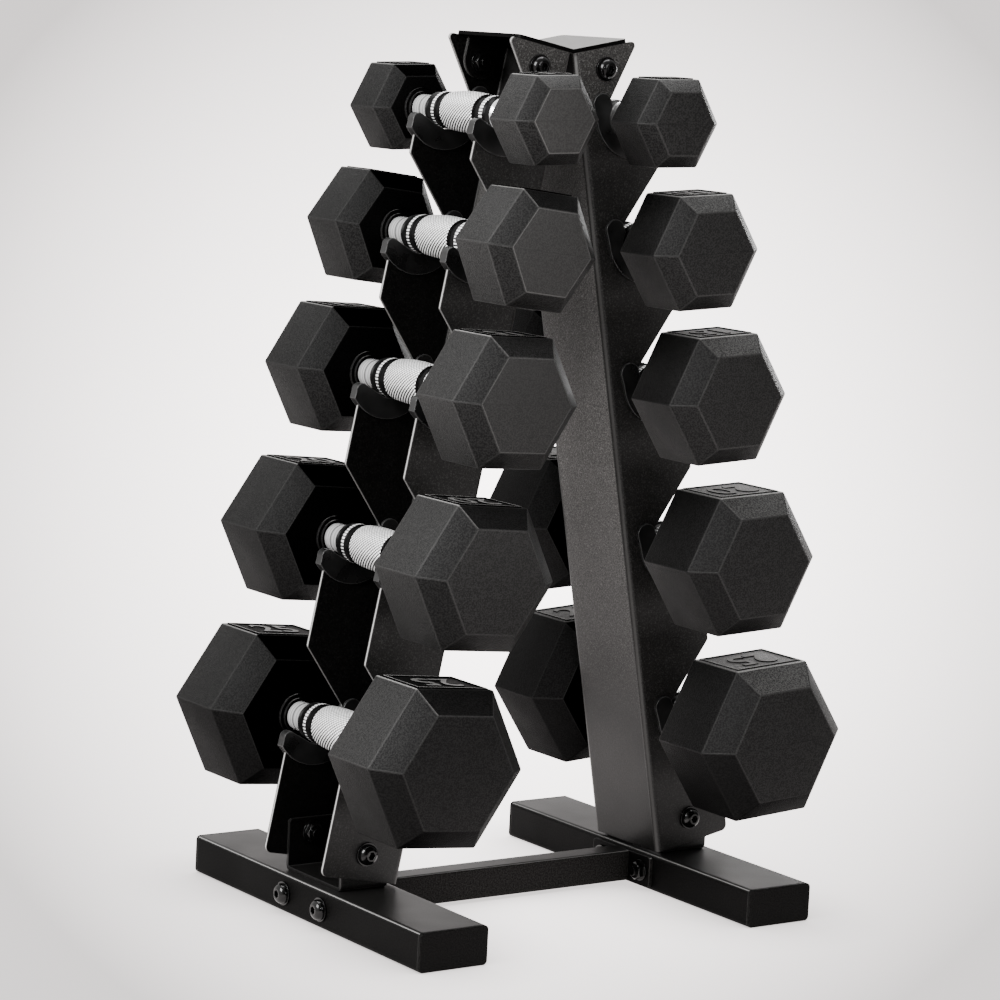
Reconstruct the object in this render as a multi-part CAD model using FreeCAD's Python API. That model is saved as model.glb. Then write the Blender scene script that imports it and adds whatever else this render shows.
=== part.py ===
import FreeCAD, Part
import math
import os

# Two-sided A-frame dumbbell rack with five tiers, loaded with ten hex dumbbells.
# X runs across the rack from the left leg to the right one, Y along the feet and the dumbbell
# handles with -Y at the front, Z up from the floor. The origin is on the floor under the centre.
# Millimetres and degrees. The right half is drawn and the left half is its mirror image.

# ---- feet and cross tube ----
FOOT_SPACING = 305.0
FOOT_WIDTH = 60.0
FOOT_HEIGHT = 30.0
FOOT_LENGTH = 326.0
TUBE_WALL = 1.8
TUBE_CORNER = 3.5
CAP_FLANGE = 3.0
CAP_PLUG = 14.0
CROSS_WIDTH = 20.0
CROSS_HEIGHT = 25.0
CROSS_Z = 2.5
CROSS_PLATE = 3.0
CROSS_PLATE_LENGTH = 76.0
CROSS_BOLT_Y = 26.5

# ---- uprights ----
LEAN = 11.0
SHEET = 3.0
LEG_BASE_X = 124.0
LEG_BASE_Z = 32.0
LEG_LENGTH = 643.0
CHANNEL_DEPTH = 70.0
FLANGE_Y = 41.0
BEND_RADIUS = 4.5
TOOTH_TIP_RADIUS = 3.0
FOOT_CORNER_RADIUS = 5.0
EAR_REACH = 59.5

# ---- cradles: stations along the leg, measured to the axis of a seated handle ----
TIER_STATIONS = [587.0, 489.5, 376.5, 247.0, 104.5]
SEAT_DEPTH = 40.5
SEAT_RADIUS = 15.7
SEAT_FLAT = 6.0
RAMP_ANGLE = 30.0
THROAT_DEPTH = 28.5
THROAT_RISE = 16.0
NOTCH_ANGLE = 44.5

# ---- saddles clipped over the cradles ----
LINER = 3.0
SADDLE_HALF_WIDTH = 3.7
SKIRT_RADIUS = 36.7
# offsets from the seat's axis, outwards and up
SKIRT_CENTRE = (8.0, 5.0)
LIP_START = 31.0
LIP_ARC = [(35.3, -4.7), (37.5, -9.5)]
# depth from the web and rise above the seat's station, round the top of the inner arm
HOOK_POINTS = [(11.0, 15.0), (19.0, 22.0), (27.0, 17.5)]

# ---- brackets and fasteners ----
BRACKET_SHEET = 3.0
BASE_BRACKET_INNER_X = 132.0
BASE_BRACKET_OUTER_X = 173.5
BASE_BRACKET_TOP = 70.0
BASE_BOLT = (153.5, 58.5)
TOP_BOLT_DEPTH = 27.0
TOP_BOLT_STATION = 626.5
TOP_PLATE_REACH = 50.0
TOP_EAR_INNER = 13.0
TOP_EAR_OUTER = 41.0
TOP_EAR_DROP = 29.0
TOP_EAR_CORNERS = (14.5, 9.5)
BASE_EAR_CORNER = 2.5
BOLT_RADIUS = 4.0
HOLE_RADIUS = 4.3
WASHER_RADIUS = 9.2
WASHER = 1.6
BUTTON_RADIUS = 8.0
BUTTON_HEIGHT = 5.4
SOCKET_ACROSS = 5.5
NUT_ACROSS = 13.0
NUT_HEIGHT = 6.5
NUT_FLANGE_RADIUS = 8.5
NUT_FLANGE = 1.4
THREAD_END = 2.5

# ---- dumbbells, lightest first ----
# corner radius of the hexagon, half gap between the heads, prism length, handle thickness factor
DUMBBELLS = {
    5: (38.1, 79.3, 33.0, 0.93),
    10: (49.7, 82.4, 41.8, 0.98),
    15: (56.0, 84.1, 47.6, 1.0),
    20: (61.7, 84.4, 54.3, 1.0),
    25: (68.3, 85.7, 54.0, 1.02),
}
WEIGHTS = [5, 10, 15, 20, 25]
BEVEL_PER_RADIUS = 0.262
FACE_SCALE = 0.72
HEAD_EDGE_RADIUS = 1.2
RUBBER_WALL = {5: 3.5, 10: 4.0, 15: 4.5, 20: 5.5, 25: 6.5}
COLLAR_HEIGHT = 4.0
COLLAR_RADIUS = 16.5
COLLAR_STEP_RADIUS = 13.6
SEAT_GAP = 0.35
PRESS_GAP = 0.05
# where each dumbbell lies: distance out from the inner end of the seat, shift along Y, roll
LEFT_PLACES = {5: (6.0, 6.0, -2.0), 10: (5.0, 4.0, 7.0), 15: (4.0, 6.0, 3.0),
               20: (6.0, 3.0, 4.7), 25: (4.0, 6.0, 5.0)}
RIGHT_PLACES = {5: (0.0, 4.0, -1.3), 10: (0.0, -4.0, -3.3), 15: (0.0, -6.0, -3.5),
                20: (4.0, -3.0, -2.9), 25: (4.0, -6.0, -3.8)}

# handle profile: half length stations and radii, before the thickness factor
GRIP_HALF = 22.0
GRIP_BULGE = 17.0
GRIP_END = 15.8
GROOVE_RADIUS = 14.2
RING_RADIUS = 15.3
RING_START = 29.5
RING_END = 35.5
RECESS_RADIUS = 13.8
FLARE_START = 43.5
FLARE_RADIUS = 14.4
FLARE_MIDDLE = (46.1, 12.2)
NECK_START = 51.0
NECK_RADIUS = 11.2

SIN = math.sin(math.radians(LEAN))
COS = math.cos(math.radians(LEAN))
FOOT_X = FOOT_SPACING / 2
CHANNEL_HALF = FLANGE_Y + SHEET / 2
INNER_HALF = FLANGE_Y - SHEET / 2
PARTS = "parts"


def vec(x, y, z):
    return FreeCAD.Vector(x, y, z)


def save(node, solids):
    """Write one node as a STEP file that holds the given solids."""
    shape = solids[0] if len(solids) == 1 else Part.makeCompound(solids)
    shape.exportStep(os.path.join(PARTS, node + ".step"))


def mirrored(solids):
    return [solid.mirror(vec(0, 0, 0), vec(1, 0, 0)) for solid in solids]


def front_and_back(make):
    """Call make with -1 for the front half and 1 for the back half."""
    return [make(-1), make(1)]


def leg_point(depth, station):
    """A point of the right leg: depth outwards from the web, station up the leg."""
    x = LEG_BASE_X - station * SIN + depth * COS
    z = LEG_BASE_Z + station * COS + depth * SIN
    return (x, z)


def outline(start, steps, y=0.0):
    """A closed wire in the XZ plane. A step is a point, or a middle and an end point of an arc."""
    edges = []
    here = start
    for step in steps:
        if isinstance(step[0], tuple):
            middle, end = step
            arc = Part.Arc(vec(here[0], y, here[1]), vec(middle[0], y, middle[1]), vec(end[0], y, end[1]))
            edges.append(arc.toShape())
        else:
            end = step
            edges.append(Part.makeLine(vec(here[0], y, here[1]), vec(end[0], y, end[1])))
        here = end
    if math.dist(here, start) > 0.001:
        edges.append(Part.makeLine(vec(here[0], y, here[1]), vec(start[0], y, start[1])))
    return Part.Wire(edges)


def prism(start, steps, y_low, y_high):
    """The outline's area pushed along Y."""
    face = Part.Face(outline(start, steps, y_low))
    return face.extrude(vec(0, y_high - y_low, 0))


def block(x_low, x_high, y_low, y_high, z_low, z_high):
    return Part.makeBox(x_high - x_low, y_high - y_low, z_high - z_low, vec(x_low, y_low, z_low))


def rounded_corner(corner, before, after, radius):
    """Start of, and arc step for, a rounded corner between two points of an outline."""
    to_before = unit(corner, before)
    to_after = unit(corner, after)
    half = math.acos(to_before[0] * to_after[0] + to_before[1] * to_after[1]) / 2
    reach = radius / math.tan(half)
    inward = unit((0, 0), (to_before[0] + to_after[0], to_before[1] + to_after[1]))
    depth = radius / math.sin(half) - radius
    first = (corner[0] + to_before[0] * reach, corner[1] + to_before[1] * reach)
    middle = (corner[0] + inward[0] * depth, corner[1] + inward[1] * depth)
    last = (corner[0] + to_after[0] * reach, corner[1] + to_after[1] * reach)
    return [first, (middle, last)]


def unit(start, end):
    length = math.hypot(end[0] - start[0], end[1] - start[1])
    return ((end[0] - start[0]) / length, (end[1] - start[1]) / length)


def on_circle(centre, radius, angle):
    return (centre[0] + radius * math.cos(math.radians(angle)),
            centre[1] + radius * math.sin(math.radians(angle)))


# ---- feet and cross tube ----

def tube_section(half_width, z_low, z_high, corner, x_centre, y):
    """A rounded rectangle across a tube that runs along Y."""
    left, right = x_centre - half_width, x_centre + half_width
    corners = [(left, z_low), (left, z_high), (right, z_high), (right, z_low)]
    steps = []
    for index, point in enumerate(corners):
        steps += rounded_corner(point, corners[index - 1], corners[(index + 1) % 4], corner)
    return Part.Face(outline(steps[0], steps[1:], y))


def foot_tube():
    half_tube = FOOT_LENGTH / 2 - CAP_FLANGE
    outer = tube_section(FOOT_WIDTH / 2, 0, FOOT_HEIGHT, TUBE_CORNER, FOOT_X, -half_tube)
    inner = tube_section(FOOT_WIDTH / 2 - TUBE_WALL, TUBE_WALL, FOOT_HEIGHT - TUBE_WALL,
                         TUBE_CORNER - TUBE_WALL, FOOT_X, -half_tube)
    tube = outer.cut(inner).extrude(vec(0, 2 * half_tube, 0))
    for y in (-CROSS_BOLT_Y, CROSS_BOLT_Y):
        start = vec(FOOT_X - FOOT_WIDTH, y, FOOT_HEIGHT / 2)
        tube = tube.cut(Part.makeCylinder(HOLE_RADIUS, 2 * FOOT_WIDTH, start, vec(1, 0, 0)))
    return tube


def foot_cap(side):
    """Plastic plug with a flange that closes the tube's end."""
    tube_end = side * (FOOT_LENGTH / 2 - CAP_FLANGE)
    flange = tube_section(FOOT_WIDTH / 2, 0, FOOT_HEIGHT, TUBE_CORNER, FOOT_X, tube_end)
    plug = tube_section(FOOT_WIDTH / 2 - TUBE_WALL - PRESS_GAP, TUBE_WALL + PRESS_GAP,
                        FOOT_HEIGHT - TUBE_WALL - PRESS_GAP, TUBE_CORNER - TUBE_WALL, FOOT_X, tube_end)
    flange = flange.extrude(vec(0, side * CAP_FLANGE, 0))
    rim = [edge for edge in flange.Edges if abs(edge.CenterOfMass.y - side * FOOT_LENGTH / 2) < 0.01]
    flange = flange.makeFillet(1.0, rim)
    return flange.fuse(plug.extrude(vec(0, -side * CAP_PLUG, 0))).removeSplitter()


def cross_tube():
    half_length = FOOT_X - FOOT_WIDTH / 2 - CROSS_PLATE
    outer = block(-half_length, half_length, -CROSS_WIDTH / 2, CROSS_WIDTH / 2,
                  CROSS_Z, CROSS_Z + CROSS_HEIGHT)
    long_edges = [edge for edge in outer.Edges if edge.Length > CROSS_HEIGHT * 2]
    outer = outer.makeFillet(2.0, long_edges)
    inner_half = CROSS_WIDTH / 2 - TUBE_WALL
    inner = block(-half_length - 1, half_length + 1, -inner_half, inner_half,
                  CROSS_Z + TUBE_WALL, CROSS_Z + CROSS_HEIGHT - TUBE_WALL)
    return outer.cut(inner)


def cross_plate():
    """End plate of the cross tube, against the inner wall of the foot."""
    face_x = FOOT_X - FOOT_WIDTH / 2
    plate = block(face_x - CROSS_PLATE, face_x, -CROSS_PLATE_LENGTH / 2, CROSS_PLATE_LENGTH / 2,
                  CROSS_Z, CROSS_Z + CROSS_HEIGHT)
    corners = [edge for edge in plate.Edges if abs(edge.Length - CROSS_PLATE) < 0.01]
    plate = plate.makeFillet(3.0, corners)
    for y in (-CROSS_BOLT_Y, CROSS_BOLT_Y):
        start = vec(face_x - 2 * CROSS_PLATE, y, FOOT_HEIGHT / 2)
        plate = plate.cut(Part.makeCylinder(HOLE_RADIUS, 3 * CROSS_PLATE, start, vec(1, 0, 0)))
    return plate


# ---- fasteners, made about Z with the seat at z = 0 and the head or nut above it ----

def hex_prism(across, height):
    radius = across / math.sqrt(3)
    points = [vec(*on_circle((0, 0), radius, 60 * k), 0) for k in range(6)]
    face = Part.Face(Part.makePolygon(points + points[:1]))
    return face.extrude(vec(0, 0, height))


def cone_topped(shape, radius, height):
    """Round off the corners of a hexagon with a cone, as on a real nut."""
    cone = Part.makeCone(radius + height, radius * 0.93, height)
    return shape.common(cone)


def button_bolt(length):
    """Button-head bolt: the head is above the seat and the shank goes down the -Z side."""
    side = (BUTTON_RADIUS, 0.8)
    shoulder = (BUTTON_RADIUS * 0.72, BUTTON_HEIGHT * 0.86)
    top = (SOCKET_ACROSS * 0.75, BUTTON_HEIGHT)
    section = outline((0, 0), [(BUTTON_RADIUS, 0), side, (shoulder, top), (0, BUTTON_HEIGHT)])
    head = Part.Face(section).revolve(vec(0, 0, 0), vec(0, 0, 1), 360)
    socket = hex_prism(SOCKET_ACROSS, BUTTON_HEIGHT)
    socket.translate(vec(0, 0, BUTTON_HEIGHT * 0.4))
    shank = Part.makeCylinder(BOLT_RADIUS, length, vec(0, 0, -length))
    return head.cut(socket).fuse(shank).removeSplitter()


def washer():
    ring = Part.makeCylinder(WASHER_RADIUS, WASHER)
    hole = Part.makeCylinder(BOLT_RADIUS + 2 * PRESS_GAP, WASHER)
    return ring.cut(hole)


def nut():
    """Hexagon nut with a round flange against the sheet."""
    body = cone_topped(hex_prism(NUT_ACROSS, NUT_HEIGHT), NUT_ACROSS / 2, NUT_HEIGHT)
    body = body.fuse(Part.makeCylinder(NUT_FLANGE_RADIUS, NUT_FLANGE)).removeSplitter()
    return body.cut(Part.makeCylinder(BOLT_RADIUS + 2 * PRESS_GAP, NUT_HEIGHT))


def placed(shape, position, direction):
    """A copy moved to the position, with its +Z turned to the direction."""
    copy = shape.copy()
    turn = FreeCAD.Rotation(vec(0, 0, 1), direction)
    copy.Placement = FreeCAD.Placement(position, turn)
    return copy


def cross_fasteners():
    """Bolts from the feet's outer walls, with nuts on the cross tube's end plates."""
    seat_x = FOOT_X + FOOT_WIDTH / 2 + WASHER
    nut_x = FOOT_X - FOOT_WIDTH / 2 - CROSS_PLATE
    bolt = button_bolt(seat_x - nut_x + NUT_HEIGHT + THREAD_END)
    bolts, washers, nuts = [], [], []
    for y in (-CROSS_BOLT_Y, CROSS_BOLT_Y):
        out, inward = vec(1, 0, 0), vec(-1, 0, 0)
        bolts.append(placed(bolt, vec(seat_x, y, FOOT_HEIGHT / 2), out))
        washers.append(placed(washer(), vec(seat_x - WASHER, y, FOOT_HEIGHT / 2), out))
        nuts.append(placed(nut(), vec(nut_x, y, FOOT_HEIGHT / 2), inward))
    return bolts, washers, nuts


def flange_fasteners(point):
    """Button bolts along Y through both flanges and the bracket ears behind them."""
    seat_y = CHANNEL_HALF + WASHER
    nut_y = INNER_HALF - BRACKET_SHEET
    bolt = button_bolt(seat_y - nut_y + NUT_HEIGHT + THREAD_END)
    bolts, washers, nuts = [], [], []
    for side in (-1, 1):
        out, inward = vec(0, side, 0), vec(0, -side, 0)
        bolts.append(placed(bolt, vec(point[0], side * seat_y, point[1]), out))
        washers.append(placed(washer(), vec(point[0], side * CHANNEL_HALF, point[1]), out))
        nuts.append(placed(nut(), vec(point[0], side * nut_y, point[1]), inward))
    return bolts, washers, nuts


def bolt_hole(point):
    start = vec(point[0], -2 * FLANGE_Y, point[1])
    return Part.makeCylinder(HOLE_RADIUS, 4 * FLANGE_Y, start, vec(0, 1, 0))


# ---- uprights ----

def seat_axis(tier):
    """Axis of a handle at the inner end of the tier's cradle."""
    return leg_point(SEAT_DEPTH, TIER_STATIONS[tier])


def cradle_steps(axis, radius, ramp_end):
    """Outline steps round a cradle: inner wall, flat bottom, outer bend, then the ramp to its end."""
    outer_centre = (axis[0] + SEAT_FLAT, axis[1])
    first = on_circle(axis, radius, 150)
    bend_end = on_circle(outer_centre, radius, -90 + RAMP_ANGLE)
    run = ramp_end - bend_end[0]
    last = (ramp_end, bend_end[1] + run * math.tan(math.radians(RAMP_ANGLE)))
    return [
        first,
        (on_circle(axis, radius, 210), on_circle(axis, radius, 270)),
        on_circle(outer_centre, radius, -90),
        (on_circle(outer_centre, radius, -90 + RAMP_ANGLE / 2), bend_end),
        last,
    ]


def lip_corner(axis):
    """Where the sheet's ramp meets the outer edge line of the flange."""
    radius = SEAT_RADIUS + LINER
    ramp_start = on_circle((axis[0] + SEAT_FLAT, axis[1]), radius, -90 + RAMP_ANGLE)
    slope = math.tan(math.radians(RAMP_ANGLE))
    edge_low = leg_point(CHANNEL_DEPTH, 0)
    lean_slope = SIN / COS
    # outer edge: x = edge_low.x - (z - edge_low.z) * lean_slope
    x = edge_low[0] - (ramp_start[1] - ramp_start[0] * slope - edge_low[1]) * lean_slope
    x = x / (1 + slope * lean_slope)
    return (x, ramp_start[1] + (x - ramp_start[0]) * slope)


def throat(tier):
    """Inner end of the sloping cut above the tier's cradle."""
    return leg_point(THROAT_DEPTH, TIER_STATIONS[tier] + THROAT_RISE)


def tooth_tip(tier):
    """Point of the tooth above the tier, on the flange's outer edge or on the top edge."""
    rise = math.tan(math.radians(NOTCH_ANGLE))
    if tier == 0:
        return leg_point(EAR_REACH, LEG_LENGTH)
    station = TIER_STATIONS[tier] + THROAT_RISE + (CHANNEL_DEPTH - THROAT_DEPTH) * rise
    return leg_point(CHANNEL_DEPTH, station)


def flange_profile():
    """Start and steps of the notched flange outline, from the web's foot up and round."""
    web_top = leg_point(0, LEG_LENGTH)
    steps = [web_top]
    before_tip = web_top
    for tier in range(len(TIER_STATIONS)):
        tip = tooth_tip(tier)
        steps += rounded_corner(tip, before_tip, throat(tier), TOOTH_TIP_RADIUS)
        steps.append(throat(tier))
        corner = lip_corner(seat_axis(tier))
        steps += cradle_steps(seat_axis(tier), SEAT_RADIUS + LINER, corner[0])
        before_tip = corner
    foot_corner = leg_point(CHANNEL_DEPTH, 0)
    steps += rounded_corner(foot_corner, before_tip, leg_point(0, 0), FOOT_CORNER_RADIUS)
    return leg_point(0, 0), steps


def upright():
    """Bent sheet channel: the web faces the other leg and the notched flanges point outwards."""
    start, steps = flange_profile()
    solid = prism(start, steps, -CHANNEL_HALF, CHANNEL_HALF)
    web_edges = [edge for edge in solid.Edges if abs(edge.Length - LEG_LENGTH) < 0.5]
    solid = solid.makeFillet(BEND_RADIUS, web_edges)
    margin = CHANNEL_DEPTH
    top, far = LEG_LENGTH + margin, CHANNEL_DEPTH + margin
    corners = [leg_point(SHEET, top), leg_point(far, top), leg_point(far, -margin)]
    hollow = prism(leg_point(SHEET, -margin), corners, -INNER_HALF, INNER_HALF)
    hollow_edges = [edge for edge in hollow.Edges
                    if abs(edge.Length - LEG_LENGTH - 2 * margin) < 0.5
                    and edge.CenterOfMass.x < leg_point(CHANNEL_DEPTH, LEG_LENGTH / 2)[0]]
    hollow = hollow.makeFillet(BEND_RADIUS - SHEET, hollow_edges)
    solid = solid.cut(hollow)
    for point in (BASE_BOLT, leg_point(TOP_BOLT_DEPTH, TOP_BOLT_STATION)):
        solid = solid.cut(bolt_hole(point))
    return solid


# ---- saddles ----

def saddle(tier, side, sheet_solid):
    """Plastic liner: a bowl-shaped skirt on each face of the flange and a rim over its cradle edge."""
    axis = seat_axis(tier)
    station = TIER_STATIONS[tier]
    centre = (axis[0] + SKIRT_CENTRE[0], axis[1] + SKIRT_CENTRE[1])
    lip_middle, lip_end = [(axis[0] + out, axis[1] + up) for out, up in LIP_ARC]
    hook = [leg_point(depth, station + rise) for depth, rise in HOOK_POINTS]
    steps = cradle_steps(axis, SEAT_RADIUS, axis[0] + LIP_START)
    steps += [(lip_middle, lip_end), on_circle(centre, SKIRT_RADIUS, -33)]
    steps.append((on_circle(centre, SKIRT_RADIUS, -90), on_circle(centre, SKIRT_RADIUS, -170)))
    steps += [hook[0], (hook[1], hook[2])]
    middle = side * FLANGE_Y
    skirts = prism(steps[0], steps[1:], middle - SADDLE_HALF_WIDTH, middle + SADDLE_HALF_WIDTH)
    return skirts.cut(sheet_solid)


# ---- brackets ----

def base_bracket():
    """U-shaped bracket on the foot, with an ear inside each flange."""
    z_low = FOOT_HEIGHT
    base = block(BASE_BRACKET_INNER_X, BASE_BRACKET_OUTER_X, -INNER_HALF, INNER_HALF,
                 z_low, BASE_BRACKET_TOP)
    bends = [edge for edge in base.Edges
             if edge.BoundBox.XLength > 1 and abs(edge.CenterOfMass.z - z_low) < 0.01]
    base = base.makeFillet(BEND_RADIUS, bends)
    room = INNER_HALF - BRACKET_SHEET
    hollow = block(BASE_BRACKET_INNER_X - 1, BASE_BRACKET_OUTER_X + 1, -room, room,
                   z_low + BRACKET_SHEET, BASE_BRACKET_TOP + 1)
    bends = [edge for edge in hollow.Edges
             if edge.BoundBox.XLength > 1 and abs(edge.CenterOfMass.z - z_low - BRACKET_SHEET) < 0.01]
    bracket = base.cut(hollow.makeFillet(BEND_RADIUS - BRACKET_SHEET, bends))
    corners = [edge for edge in bracket.Edges
               if abs(edge.BoundBox.YLength - BRACKET_SHEET) < 0.01
               and abs(edge.CenterOfMass.z - BASE_BRACKET_TOP) < 0.01]
    return bracket.makeFillet(BASE_EAR_CORNER, corners).cut(bolt_hole(BASE_BOLT))


def top_ear(side):
    """Rounded ear of the top bracket, inside one flange of the right leg."""
    station_low = LEG_LENGTH - TOP_EAR_DROP
    top_inner = leg_point(TOP_EAR_INNER, LEG_LENGTH)
    top_outer = leg_point(TOP_EAR_OUTER, LEG_LENGTH)
    low_outer = leg_point(TOP_EAR_OUTER, station_low)
    low_inner = leg_point(TOP_EAR_INNER, station_low)
    outer_radius, inner_radius = TOP_EAR_CORNERS
    steps = [top_outer]
    steps += rounded_corner(low_outer, top_outer, low_inner, outer_radius)
    steps += rounded_corner(low_inner, low_outer, top_inner, inner_radius)
    y_edges = sorted([side * INNER_HALF, side * (INNER_HALF - BRACKET_SHEET)])
    ear = prism(top_inner, steps, y_edges[0], y_edges[1])
    return ear.cut(bolt_hole(leg_point(TOP_BOLT_DEPTH, TOP_BOLT_STATION)))


def top_bracket():
    """Valley-shaped plate over both legs, with its four ears."""
    valley_z = leg_point(0, LEG_LENGTH)[1] - leg_point(0, LEG_LENGTH)[0] * SIN / COS
    right_low = leg_point(TOP_PLATE_REACH, LEG_LENGTH)
    right_high = leg_point(TOP_PLATE_REACH, LEG_LENGTH + BRACKET_SHEET)
    left_low, left_high = (-right_low[0], right_low[1]), (-right_high[0], right_high[1])
    valley_high = (0.0, valley_z + BRACKET_SHEET / COS)
    plate = prism((0.0, valley_z), [right_low, right_high, valley_high, left_high, left_low],
                  -CHANNEL_HALF, CHANNEL_HALF)
    ends = [edge for edge in plate.Edges
            if abs(edge.Length - BRACKET_SHEET) < 0.01 and abs(edge.CenterOfMass.x) > TOP_PLATE_REACH / 2]
    plate = plate.makeFillet(4.0, ends)
    ears = front_and_back(top_ear)
    return plate.multiFuse(ears + mirrored(ears)).removeSplitter()


# ---- dumbbells, made along Y about the origin ----

def hexagon(radius, y):
    points = [on_circle((0, 0), radius, 60 * corner) for corner in range(6)]
    return Part.makePolygon([vec(x, y, z) for x, z in points + points[:1]])


def hex_loft(sections):
    """A solid through hexagons given as (corner radius, y)."""
    return Part.makeLoft([hexagon(radius, y) for radius, y in sections], True, True)


def head_sections(weight):
    radius, half_gap, length, _ = DUMBBELLS[weight]
    bevel = radius * BEVEL_PER_RADIUS
    face = radius * FACE_SCALE
    return [(face, half_gap - bevel), (radius, half_gap), (radius, half_gap + length),
            (face, half_gap + length + bevel)]


def core_sections(weight):
    """The iron slug is the head's shape, set in by the rubber wall."""
    wall = RUBBER_WALL[weight]
    radial = wall * 2 / math.sqrt(3)
    inset = (wall, wall * 0.4, -wall * 0.4, -wall)
    return [(radius - radial, y + step) for (radius, y), step in zip(head_sections(weight), inset)]


def handle_end(weight):
    """How far the handle reaches into the head."""
    _, half_gap, length, _ = DUMBBELLS[weight]
    return half_gap + length * 0.6


def handle_bore(weight, gap):
    thickness = DUMBBELLS[weight][3]
    reach = handle_end(weight) + gap
    return Part.makeCylinder(NECK_RADIUS * thickness + gap, reach, vec(0, 0, 0), vec(0, 1, 0))


def core(weight):
    return hex_loft(core_sections(weight)).cut(handle_bore(weight, PRESS_GAP))


def head(weight):
    """Rubber shell of one head, with the stepped collar round the handle."""
    radius, half_gap, _, thickness = DUMBBELLS[weight]
    body = hex_loft(head_sections(weight))
    body = body.makeFillet(HEAD_EDGE_RADIUS, body.Edges)
    face_y = half_gap - radius * BEVEL_PER_RADIUS
    along = vec(0, 1, 0)
    for collar, drop in ((COLLAR_RADIUS, COLLAR_HEIGHT / 2), (COLLAR_STEP_RADIUS, COLLAR_HEIGHT)):
        ring = Part.makeCylinder(collar * thickness, drop + 1.0, vec(0, face_y - drop, 0), along)
        body = body.fuse(ring)
    cavity = hex_loft(core_sections(weight))
    return body.cut(cavity).cut(handle_bore(weight, PRESS_GAP)).removeSplitter()


def half_profile(weight, side):
    """Edges of the turned profile on one side, from the end of the grip to the end of the bar."""
    thickness = DUMBBELLS[weight][3]
    steps = [(GRIP_HALF, GRIP_END), (GRIP_HALF + 1.2, GROOVE_RADIUS),
             (RING_START - 0.8, GROOVE_RADIUS), (RING_START, RING_RADIUS - 0.5),
             (RING_START + 0.6, RING_RADIUS), (RING_END - 0.6, RING_RADIUS),
             (RING_END, RING_RADIUS - 0.5), (RING_END + 0.8, RECESS_RADIUS),
             (FLARE_START - 0.4, RECESS_RADIUS), (FLARE_START, FLARE_RADIUS)]
    points = [vec(radius * thickness, side * y, 0) for y, radius in steps]
    middle = vec(FLARE_MIDDLE[1] * thickness, side * FLARE_MIDDLE[0], 0)
    neck = vec(NECK_RADIUS * thickness, side * NECK_START, 0)
    flare = Part.Arc(points[-1], middle, neck).toShape()
    end_y = side * handle_end(weight)
    rest = Part.makePolygon([neck, vec(NECK_RADIUS * thickness, end_y, 0), vec(0, end_y, 0)])
    return Part.makePolygon(points).Edges + [flare] + rest.Edges


def handle(weight):
    """Turned bar: bulged grip, a ring between two grooves each side, then a flare and a neck."""
    thickness = DUMBBELLS[weight][3]
    ends = [vec(GRIP_END * thickness, y, 0) for y in (-GRIP_HALF, GRIP_HALF)]
    bulge = Part.Arc(ends[0], vec(GRIP_BULGE * thickness, 0, 0), ends[1]).toShape()
    end_y = handle_end(weight)
    axis = Part.makeLine(vec(0, -end_y, 0), vec(0, end_y, 0))
    edges = half_profile(weight, -1) + [bulge] + half_profile(weight, 1) + [axis]
    wire = Part.Wire(Part.sortEdges(edges)[0])
    return Part.Face(wire).revolve(vec(0, 0, 0), vec(0, 1, 0), 360)


def both_ends(solid):
    """The piece at the +Y end and its copy turned round to the -Y end."""
    half_turn = FreeCAD.Placement(vec(0, 0, 0), FreeCAD.Rotation(vec(0, 0, 1), 180))
    return [solid, solid.transformed(half_turn.toMatrix())]


def dumbbell_placement(weight, side):
    """Where a dumbbell lies in its cradle. side is -1 for the left leg and 1 for the right one."""
    out, shift, roll = (LEFT_PLACES if side < 0 else RIGHT_PLACES)[weight]
    axis = seat_axis(WEIGHTS.index(weight))
    thickness = DUMBBELLS[weight][3]
    z = axis[1] - SEAT_RADIUS + RING_RADIUS * thickness + SEAT_GAP
    turn = FreeCAD.Rotation(vec(0, 1, 0), roll)
    return FreeCAD.Placement(vec(side * (axis[0] + out), shift, z), turn)


def save_dumbbell(weight, side, name):
    place = dumbbell_placement(weight, side)
    pieces = {"handle": [handle(weight)], "heads": both_ends(head(weight)),
              "cores": both_ends(core(weight))}
    for kind, solids in pieces.items():
        node = "%s_%s_%02d" % (kind, name, weight)
        save(node, [solid.transformed(place.toMatrix()) for solid in solids])


def save_both_sides(name, solids):
    save(name + "_right", solids)
    save(name + "_left", mirrored(solids))


def main():
    os.makedirs(PARTS, exist_ok=True)
    save_both_sides("foot_tube", [foot_tube()])
    save_both_sides("foot_caps", front_and_back(foot_cap))
    save("cross_tube", [cross_tube()])
    save_both_sides("cross_plate", [cross_plate()])
    for kind, solids in zip(("bolts", "washers", "nuts"), cross_fasteners()):
        save("cross_" + kind, solids + mirrored(solids))
    leg = upright()
    save_both_sides("upright", [leg])
    for side, place in ((-1, "front"), (1, "rear")):
        saddles = [saddle(tier, side, leg) for tier in range(len(TIER_STATIONS))]
        save_both_sides("saddles_" + place, saddles)
    save_both_sides("base_bracket", [base_bracket()])
    save("top_bracket", [top_bracket()])
    top_bolt = leg_point(TOP_BOLT_DEPTH, TOP_BOLT_STATION)
    for prefix, point in (("base_", BASE_BOLT), ("top_", top_bolt)):
        for kind, solids in zip(("bolts", "washers", "nuts"), flange_fasteners(point)):
            save(prefix + kind, solids + mirrored(solids))
    for weight in WEIGHTS:
        save_dumbbell(weight, -1, "left")
        save_dumbbell(weight, 1, "right")


main()
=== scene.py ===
import math

import bmesh
import bpy
from mathutils import Matrix, Vector


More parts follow.
